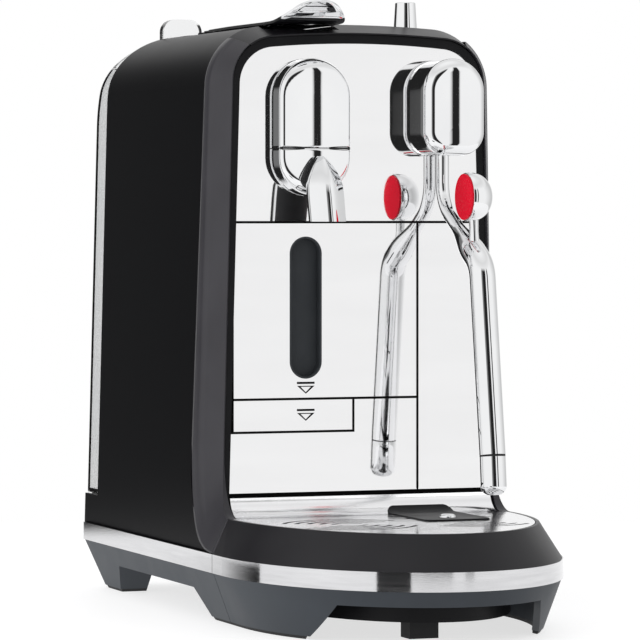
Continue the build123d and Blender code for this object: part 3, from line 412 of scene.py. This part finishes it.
def pill_ring(x, z0, z1, radius, y_of, count=24):
    """A stadium seen from the front around the line from z0 to z1.

    y_of gives each point's depth from its offset sideways and how much it faces up or down."""
    ring = []
    radius = max(radius, .01)
    for centre, start in ((z1, 0), (z0, 180)):
        for step in range(count + 1):
            turn = math.radians(start + 180 * step / count)
            dx, dz = radius * math.cos(turn), radius * math.sin(turn)
            ring.append(at(x + dx, y_of(dx, dz / radius), centre + dz))
    steps = 10
    a, b = len(ring) // 2 - 1, len(ring) - 1
    left = [ring[a].lerp(ring[a + 1], k / steps) for k in range(1, steps)]
    right = [ring[b].lerp(ring[0], k / steps) for k in range(1, steps)]
    return ring[:a + 1] + left + ring[a + 1:] + right


def head_front(outline, half, y_back, y_front, edge, draft, rise):
    """Rings for a head that stands out from the panel: drafted wall, round edge, barrel front.

    outline(inset, y_of) draws the front view drawn in by inset. The edge's radius grows by rise
    where the outline faces up or down."""
    def depth(dx, facing, inset):
        radius = edge + rise * facing * facing
        left = max(0.0, 1 - inset / radius)
        barrel = .72 * (math.sqrt(1 + (dx / 6) ** 2) - 1)
        return y_front + barrel + radius * (1 - math.sqrt(max(0.0, 1 - left * left)))
    rings = []
    for step in range(6):
        t = step / 6
        rings.append(outline(draft * t, lambda dx, up: y_back + (depth(dx, up, 0) - y_back) * t))
    insets = [(edge + rise) * (1 - math.cos(math.radians(90 * k / 22))) for k in range(23)]
    insets += [edge + rise + (half - edge - rise) * k / 10 for k in range(1, 11)]
    for inset in insets:
        shift = draft * max(0, 1 - inset / edge)
        rings.append(outline(inset + shift, lambda dx, up: depth(dx, up, inset)))
    return rings


def trim(piece, point, away):
    """Cut a piece at a plane through point and drop the side that away points to."""
    bm = bmesh.new()
    bm.from_mesh(piece.data)
    bmesh.ops.bisect_plane(bm, geom=bm.verts[:] + bm.edges[:] + bm.faces[:], plane_co=point, plane_no=away,
                           clear_outer=True)
    bm.to_mesh(piece.data)
    bm.free()


def thicken(piece, wall, offset=-1):
    """Give a skin a wall, inwards unless its faces point the other way."""
    thick = piece.modifiers.new("wall", "SOLIDIFY")
    thick.thickness = wall * MM
    thick.offset = offset


def cover(shape, name, height, away):
    """A chrome cover of the brew head: the shape on one side of a height, thickened inwards."""
    piece = add_piece(name, "chrome", *shape)
    trim(piece, at(0, 0, height), (0, 0, away))
    smooth(piece.data)
    thicken(piece, 1.6)
    return piece


def brew_head():
    """Brew head in two covers, with a dark ring behind the fine joint between them."""
    def outline(inset, y_of):
        return pill_ring(HEAD_X, 231.1, 262.3, 19.5 - inset, y_of)
    shape = skin(head_front(outline, 19.5, -31.2, -44.3, 2.6, .32, 5.0), ends=(False, True))
    upper = cover(shape, "brew_head_upper_cover", HEAD_SEAM[1], -1)
    lower = cover(shape, "brew_head_lower_cover", HEAD_SEAM[0], 1)
    gap = [pill_ring(HEAD_X, 231.1, 262.3, 19.5 - inset, lambda dx, up=0.0, y=y: y)
           for inset, y in ((.55, -31.4), (.55, -41.2), (1.4, -43.2), (3.2, -43.95))]
    line = add_piece("brew_head_joint", "rubber", *skin(gap, ends=(False, True)))
    trim(line, at(0, 0, 236.3), (0, 0, 1))
    trim(line, at(0, 0, 235.3), (0, 0, -1))
    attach(line, BODY_OF["brew_head_lower"])
    for piece, node in ((upper, "brew_head_shell"), (lower, "brew_head_lower")):
        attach(piece, BODY_OF[node])
        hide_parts(node)


def steam_ring(inset, y_of):
    """Front view of the steam head drawn in: half-round top, softly rounded lower corners."""
    half, low = 16.5 - inset, 232.3 + inset
    half = max(half, .02)
    corner = max(min(12.0 - inset, half - .01), .01)
    ring = []

    def point(dx, z, up=0.0):
        ring.append(at(WAND_X + dx, y_of(dx, up), z))

    def round_corner(centre, start):
        for step in range(17):
            turn = math.radians(start + 90 * step / 16)
            point(centre + corner * math.cos(turn), low + corner + corner * math.sin(turn), math.sin(turn))
    for step in range(33):
        turn = math.radians(180 * step / 32)
        point(half * math.cos(turn), STEAM_TOP + half * math.sin(turn), math.sin(turn))
    for step in range(1, 12):
        point(-half, STEAM_TOP + (low + corner - STEAM_TOP) * step / 12)
    round_corner(-half + corner, 180)
    for step in range(1, 6):
        point(-half + corner + (2 * half - 2 * corner) * step / 6, low, 1.0)
    round_corner(half - corner, 270)
    for step in range(1, 12):
        point(half, low + corner + (STEAM_TOP - low - corner) * step / 12)
    return ring


def steam_head():
    """Deep chrome cover over the wand's joint, with an opening below for the wand."""
    rings = head_front(steam_ring, 16.5, -31.0, -59.0, 4.6, .0, 2.0)
    points, faces = skin(rings, ends=(False, True))
    piece = add_piece("steam_head_cover", "chrome", points, faces)
    bm = bmesh.new()
    bm.from_mesh(piece.data)
    gone = [f for f in bm.faces if f.calc_center_median().z < at(0, 0, 232.5).z
            and abs(f.calc_center_median().x - WAND_X * MM) < .0052 and f.calc_center_median().y > -.0526]
    bmesh.ops.delete(bm, geom=gone, context="FACES")
    bm.to_mesh(piece.data)
    bm.free()
    smooth(piece.data)
    thicken(piece, 1.6)
    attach(piece, BODY_OF["steam_head_shell"])
    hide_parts("steam_head_shell")


def spout():
    """Coffee spout: a bullet-shaped nose with a ridge down its front and a black rear half."""
    rings = []
    # height, half width, Y of the middle, and reach to the front and back
    levels = [(198.7, 9.1, -58.6, 9.2), (206, 9.2, -56.8, 9.2), (212, 9.25, -55.4, 9.2),
              (217, 9.1, -54.2, 9.0), (220.5, 8.2, -53.3, 8.4), (223.5, 6.9, -52.5, 7.6),
              (226.3, 5.4, -51.6, 6.7), (228.8, 3.8, -50.6, 5.8), (230.7, 2.3, -49.8, 4.9),
              (231.7, 1.0, -49.0, 4.0)]
    for z, half, middle, reach in levels:
        ring = []
        for step in range(40):
            turn = 2 * math.pi * step / 40
            dx, dy = math.sin(turn), -math.cos(turn)
            if dy < 0:      # flat side walls, then a soft ridge between two nearly flat faces
                dy = -.35 - .65 * (1 - (math.hypot(dx, .28) - .28) / .759) if abs(dx) < .995 else 0
            ring.append(at(HEAD_X + half * dx, middle + reach * dy, z))
        rings.append(ring)
    turns = [2 * math.pi * k / 40 for k in range(40)]
    bore = [[at(HEAD_X + r * math.sin(t), -58.8 - r * math.cos(t), z) for t in turns]
            for r, z in ((7.6, 198.7), (3.6, 200.4), (3.5, 207.5))]
    points, faces = skin(bore[::-1] + rings, ends=(True, True))
    piece = add_piece("spout_nose", "chrome", points, faces, 50)
    piece.data.materials.append(LOOKS["rubber"])
    for face in piece.data.polygons:
        face.material_index = 1 if face.normal.y > .25 else 0
    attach(piece, BODY_OF["coffee_spout"])
    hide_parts("coffee_spout")


def sweep(path, radius_of, count=32):
    """Rings round a path that lies in one plane of constant X, with a radius at each point."""
    rings = []
    sideways = Vector((1, 0, 0))
    for i, (y, z) in enumerate(path):
        before, after = path[max(i - 1, 0)], path[min(i + 1, len(path) - 1)]
        along = Vector((0, after[0] - before[0], after[1] - before[1])).normalized()
        across = Vector((0, -along.z, along.y))
        radius = radius_of(i)
        rings.append([at(WAND_X, y, z) + (sideways * math.cos(t) + across * math.sin(t)) * radius * MM
                      for t in (2 * math.pi * k / count for k in range(count))])
    return rings


def rounded_path(corners, radii, step=1.2):
    """Points along straight runs joined by arcs that touch them."""
    path = [Vector(corners[0])]
    for k in range(1, len(corners) - 1):
        here, before, after = Vector(corners[k]), Vector(corners[k - 1]), Vector(corners[k + 1])
        into, out = (here - before).normalized(), (after - here).normalized()
        turn = into.angle(out)
        reach = radii[k - 1] * math.tan(turn / 2)
        start = here - into * reach
        side = Vector((-into.y, into.x))
        if side.dot(out) < 0:
            side = -side
        centre = start + side * radii[k - 1]
        span = math.ceil(turn * radii[k - 1] / step) + 1
        for j in range(span + 1):
            spin = turn * j / span
            path.append(centre + (into * math.sin(spin) - side * math.cos(spin)) * radii[k - 1])
    path.append(Vector(corners[-1]))
    dense = [path[0]]
    for p in path[1:]:
        gap = (p - dense[-1]).length
        pieces = max(1, math.ceil(gap / 3.0))
        for j in range(1, pieces + 1):
            dense.append(dense[-1] + (p - dense[-1]) * (1 / (pieces - j + 1)))
    return [(p.x, p.y) for p in dense]


def wand():
    """Steam wand: bare tube, sleeve that swells over the slanted run, dark ring and tip."""
    path = rounded_path([WAND_TOP, UPPER_BEND, LOWER_BEND, COLLAR], [20.0, 14.0])
    lengths = [0.0]
    for a, b in zip(path, path[1:]):
        lengths.append(lengths[-1] + math.dist(a, b))
    start = Vector(UPPER_BEND).lerp(Vector(LOWER_BEND), .36)
    split = min(range(len(path)), key=lambda i: math.dist(path[i], start))

    def sleeve_radius(i):
        t = min(max((lengths[i + split] - lengths[split]) / 26.0, 0), 1)
        return TUBE_R + (SLEEVE_R - TUBE_R) * t * t * (3 - 2 * t)
    tube = add_piece("wand_bare_tube", "chrome", *skin(sweep(path[:split + 1], lambda i: TUBE_R)))
    rings = sweep(path[split:], sleeve_radius)
    sleeve = add_piece("wand_cool_sleeve", "chrome", *skin(rings, ends=(False, True)))
    way = (Vector(TIP) - Vector(COLLAR)).normalized()
    stops = [(.7, 6.2), (.8, 6.5), (1.1, 6.55)] + [(1.0 + 14.3 * k / 5, 6.55) for k in range(1, 6)]
    stops += [(15.3 + 4.7 * math.sin(math.radians(a)), 1.9 + 4.65 * math.cos(math.radians(a)))
              for a in range(12, 91, 6)]
    stops += [(20.0, 1.2), (19.4, 1.1)]
    turns = [2 * math.pi * k / 32 for k in range(32)]
    sideways, across = Vector((1, 0, 0)), Vector((0, -way.y, way.x))

    def disc(d, r):
        """A circle round the wand at a distance past the collar."""
        middle = at(WAND_X, *(Vector(COLLAR) + way * d))
        return [middle + (sideways * math.cos(t) + across * math.sin(t)) * r * MM for t in turns]
    tip = add_piece("wand_steam_tip", "chrome", *skin([disc(d, r) for d, r in stops], ends=(True, True)))
    ring = [disc(d, r) for d, r in ((-.1, 5.0), (-.1, 6.45), (.75, 6.45), (.75, 5.0))]
    collar = add_piece("wand_collar_ring", "rubber", *skin(ring, ends=(True, True)))
    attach(collar, BODY_OF["wand_tip"])
    for piece, node in ((tube, "wand_tube"), (sleeve, "wand_sleeve"), (tip, "wand_tip")):
        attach(piece, BODY_OF[node])
        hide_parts(node)


def lever():
    """Thin strap lever that curls up like a ski tip at its rounded front end."""
    profile = [(84, 300.4), (71.5, 300.55), (71.3, 300.55), (60, 300.7), (40, 300.9), (20, 300.9),
               (5, 300.85), (-8, 300.8), (-18, 300.8),
               (-26, 300.9), (-31.5, 301.2), (-35, 301.75), (-38, 302.6), (-41.5, 304.1), (-44.6, 306.1),
               (-47.4, 308.7), (-50.4, 311.2)]
    half, radius, thick = 18.5, 18.5, 2.0
    rows_top, rows_low = [], []
    cross = [-1, -.97, -.9, -.75, -.5, -.25, 0, .25, .5, .75, .9, .97, 1]
    centre_y = -50.4 + radius

    def width_at(y):
        if y > 71.4:            # narrower between the two ears of the hinge
            return 16.9
        if y >= centre_y:
            return half
        return math.sqrt(max(radius ** 2 - (centre_y - y) ** 2, .04))
    dense = []
    for (y0, z0), (y1, z1) in zip(profile, profile[1:]):
        parts = 1 if y1 > -8 else 4
        for k in range(parts):
            t = k / parts
            dense.append((y0 + (y1 - y0) * t, z0 + (z1 - z0) * t))
    dense.append(profile[-1])
    for i, (y, z) in enumerate(dense):
        before, after = dense[max(i - 1, 0)], dense[min(i + 1, len(dense) - 1)]
        along = Vector((after[0] - before[0], after[1] - before[1])).normalized()
        under = Vector((along.y, -along.x))
        if under.y > 0:
            under = -under
        w = width_at(y)
        top, low = [], []
        for c in cross:
            rim = .35 * max(0, abs(c) - .9) / .1
            top.append(at(LEVER_X + w * c, y + under.x * rim, z + under.y * rim))
            low.append(at(LEVER_X + w * c, y + under.x * (thick - rim), z + under.y * (thick - rim)))
        rows_top.append(top)
        rows_low.append(low)
    rings = [t + l[::-1] for t, l in zip(rows_top, rows_low)]
    points, faces = skin(rings, ends=(True, True))
    arm = add_piece("lever_strap", "chrome", points, faces, 50)
    barrel_rings = []
    for dx, r in ((-17, 2.2), (-16.7, 3.0), (16.7, 3.0), (17, 2.2)):
        barrel_rings.append([at(LEVER_X + dx, LEVER_PIN[0] + r * math.cos(t), LEVER_PIN[1] + r * math.sin(t))
                             for t in (2 * math.pi * k / 24 for k in range(24))])
    barrel = add_piece("lever_barrel", "chrome", *skin(barrel_rings, ends=(True, True)))
    for piece in (arm, barrel):
        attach(piece, BODY_OF["lever_arm"])
        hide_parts("lever_arm")


def knob():
    """Domed knob with its stem."""
    rings = []
    stops = [(38.5, 11.4), (38.7, 12.0), (39.2, 12.3), (41.0, 12.3)]
    stops += [(41.0 + 11.0 * math.sin(math.radians(a)), 12.3 * math.cos(math.radians(a)) ** .8)
              for a in range(6, 90, 6)]
    for x, r in stops:
        rings.append([at(x, KNOB_AXIS[0] + r * math.cos(t), KNOB_AXIS[1] + r * math.sin(t))
                      for t in (2 * math.pi * k / 48 for k in range(48))])
    cap = add_piece("wand_knob_dome", "chrome", *skin(rings, ends=(True, True)))
    low = Vector(UPPER_BEND).lerp(Vector(LOWER_BEND), .82)
    high = Vector((KNOB_AXIS[0], 205.0))
    rings = sweep([tuple(low), tuple((low + high) / 2), tuple(high)], lambda i: (2.9, 2.3, 2.6)[i], 20)
    stem = add_piece("wand_knob_stem", "chrome", *skin(rings, ends=(True, True)))
    for piece in (cap, stem):
        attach(piece, BODY_OF["wand_knob"])
        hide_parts("wand_knob")


def half_width(z):
    """Half of the drafted body's width at a height."""
    return BODY_HALF - BODY_DRAFT * (z - BAND_TOP)


def frame_pillar(sign, node):
    """One pillar of the front frame, swept forward at the foot until it runs into the apron."""
    def wrap_edge(z):
        """Front edge of the painted wrap at a height."""
        return WRAP_LOW - 8.0 * (z - WRAP_SWEEP) / (CROWN_Z - WRAP_SWEEP)
    across = [k / 14 for k in range(15)]

    def station(z):
        """Points from the wrap's edge to the black strip, then the inner return."""
        row = []
        start = wrap_edge(z)
        for v in across:
            y = start + (FRAME_FRONT - start) * v
            ease = min(max((FRAME_STEP + 2.5 - y) / 5.0, 0), 1)     # the taper starts over 5 mm
            inset = FRAME_TAPER * (max(0, FRAME_STEP - y) if ease >= 1 else 1.25 * ease * ease)
            row.append((y, inset))
        row += [(FRAME_FRONT, 8.0), (FRAME_FRONT + 1.1, 8.6)]
        return row

    def corner(inset):
        """Centre of the shoulder's arc for an outline drawn in by inset."""
        reach = SHOULDER_R - inset * .94
        low = CROWN_Z - inset * .667 - CROWN_R
        cx, cz = 44.0, 262.0
        for _ in range(4):
            cx = half_width(cz) - inset - reach * DRAFTED_FACE
            cz = low + math.sqrt((CROWN_R - reach) ** 2 - cx * cx)
        return cx, cz, reach
    rows = []
    feet = station(85.0)
    last = len(across) - 1
    for step in range(25):          # the foot, from the split plane up to the straight pillar
        t = 1 - step / 24
        row = []
        for k, (y, inset) in enumerate(feet):
            v = min(k / last, 1)
            start = Vector((half_width(85) - inset, y, 85 - 5 * v))
            end = Vector((84.3 - 7.8 * v, BASE_SPLIT_Y, 32.4 + 17.2 * v))
            if k > last:
                end = Vector((71.6, BASE_SPLIT_Y, 49.6 - 12 * (k - last - 1)))
                start.z = 80
            low, reach = 40 - 22 * v, 30 - 20 * v
            a, b = start + Vector((0, 0, -low)), end + Vector((0, reach, 0))
            u = 1 - t
            row.append(start * u ** 3 + a * 3 * u * u * t + b * 3 * u * t * t + end * t ** 3)
        rows.append(row)
    for step in range(1, 13):       # the straight pillar
        row = []
        for k, (y, inset) in enumerate(feet):
            v = min(k / last, 1)
            cz = corner(inset)[1]
            low = 85 - 5 * v
            z = low + (cz - low) * step / 12
            row.append(Vector((half_width(z) - inset, station(z)[k][0], z)))
        rows.append(row)
    for step in range(1, 17):       # the shoulder, a little past the split from the top arch
        row = []
        for k, (y, inset) in enumerate(feet):
            cx, cz, reach = corner(inset)
            turn = math.radians(64 * step / 16)
            z = cz + reach * math.sin(turn)
            row.append(Vector((cx + reach * math.cos(turn), station(z)[k][0], z)))
        rows.append(row)
    points = [at(sign * p.x, p.y, p.z) for row in rows for p in row]
    width = len(rows[0])
    faces = [(i * width + k, i * width + k + 1, (i + 1) * width + k + 1, (i + 1) * width + k)
             for i in range(len(rows) - 1) for k in range(width - 1)]
    piece = add_piece(f"frame_pillar_{node.split('_')[1]}", "frame_grey", points, faces, 50)
    # the pillars take the lighter copy of the frame's grey paint: painted light
    piece.data.materials[0] = LOOKS["pillar_grey_painted_light"]
    trim(piece, at(sign * 50, 0, 280.8), (-19 * sign, 0, 24))       # the split from the top arch
    smooth(piece.data, 50)
    outward = sum(f.normal.x for f in piece.data.polygons) * sign > 0
    thicken(piece, .6, -1 if outward else 1)
    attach(piece, BODY_OF[node])
    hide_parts(node)


def panel_seals():
    """Thin black seals in the joints between the polished panels."""
    def strip(name, x0, x1, z0, z1):
        corners = ((x0, z0), (x1, z0), (x1, z1), (x0, z1))
        rings = [[at(x, y, z) for x, z in corners] for y in (PANEL_Y + 1, PANEL_Y - .06)]
        piece = add_piece(name, "rubber", *skin(rings, ends=(True, True)))
        piece.data.materials[0] = LOOKS["dark_edge"]
        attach(piece, BODY_OF["inner_bezel"])
    w = .62
    strip("seal_upper", -67.0, 66.6, UPPER_JOINT - w, UPPER_JOINT + w)
    strip("seal_column", COLUMN_X - w, COLUMN_X + w, 61.5, UPPER_JOINT - w)
    strip("seal_container", -69.2, COLUMN_X - w, CONTAINER_JOINT - w, CONTAINER_JOINT + w)
    strip("seal_ledge", -69.6, LEDGE_X + w, LEDGE_JOINT - w, LEDGE_JOINT + w)
    strip("seal_ledge_side", LEDGE_X - w, LEDGE_X + w, LEDGE_JOINT + w, CONTAINER_JOINT - w)


def marks():
    """Small raised bar and open triangle on the container's door and on the ledge's front."""
    def prism(name, points, body):
        rings = [[at(x, y, z) for x, z in points] for y in (PANEL_Y, PANEL_Y - .25)]
        piece = add_piece(name, "gloss_black", *skin(rings, ends=(True, True)))
        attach(piece, body)
    x, w = -28.6, 4.7
    for tag, node, bar, top, low in (("door", "container_door", 116.5, 115.0, 111.0),
                                     ("ledge", "ledge_front", 102.7, 101.2, 97.2)):
        body = BODY_OF[node]
        left, right = x - w, x + w
        low_edge, high_edge = bar - .55, bar + .55
        prism(f"{tag}_mark_bar", [(left, low_edge), (right, low_edge), (right, high_edge), (left, high_edge)],
              body)
        prism(f"{tag}_mark_top", [(left, top), (right, top), (right - 1.0, top - .5), (left + 1.0, top - .5)],
              body)
        prism(f"{tag}_mark_left", [(left, top), (left + 1.3, top), (x + .1, low + .6), (x, low)], body)
        prism(f"{tag}_mark_right", [(right, top), (right - 1.3, top), (x - .1, low + .6), (x, low)], body)


BODY_OF = {name: body for body, empty in frame["bodies"].items() for name, node in nodes.items()
           if node.parent == empty}
brew_head()
steam_head()
spout()
wand()
lever()
knob()
frame_pillar(-1, "bezel_left")
frame_pillar(1, "bezel_right")
panel_seals()
marks()


# ---- Dark cards for the steel band to mirror ---------------------------------------------
def card(name, foot_a, foot_b, height, fades=False):
    """A low upright black card that shows only in reflections; it can fade out towards foot_a."""
    (xa, ya), (xb, yb) = foot_a, foot_b
    mesh = bpy.data.meshes.new(name)
    mesh.from_pydata([(xa, ya, 0), (xb, yb, 0), (xb, yb, height), (xa, ya, height)], [], [(0, 1, 2, 3)])
    mat = bpy.data.materials.new(name)
    mat.use_nodes = True
    shader = mat.node_tree.nodes["Principled BSDF"]
    shader.inputs["Base Color"].default_value = (.01, .01, .011, 1)
    shader.inputs["Roughness"].default_value = .8
    if fades:
        tree = mat.node_tree
        where = tree.nodes.new("ShaderNodeTexCoord")
        along = tree.nodes.new("ShaderNodeSeparateXYZ")
        ease = tree.nodes.new("ShaderNodeMapRange")
        ease.interpolation_type = "SMOOTHSTEP"
        tree.links.new(where.outputs["Object"], along.inputs["Vector"])
        tree.links.new(along.outputs["Y"], ease.inputs["Value"])
        ease.inputs["From Min"].default_value = ya
        ease.inputs["From Max"].default_value = yb
        ease.inputs["To Min"].default_value = 0
        ease.inputs["To Max"].default_value = 1
        tree.links.new(ease.outputs["Result"], shader.inputs["Alpha"])
    mesh.materials.append(mat)
    piece = bpy.data.objects.new(name, mesh)
    scene.collection.objects.link(piece)
    piece.visible_camera = False
    piece.visible_diffuse = False
    piece.visible_shadow = False
    piece.visible_transmission = False


card("band_card_front", (-.211, -.275), (-.134, -.346), .040)
card("band_card_side", (-.118, .165), (-.231, .027), .018, fades=True)
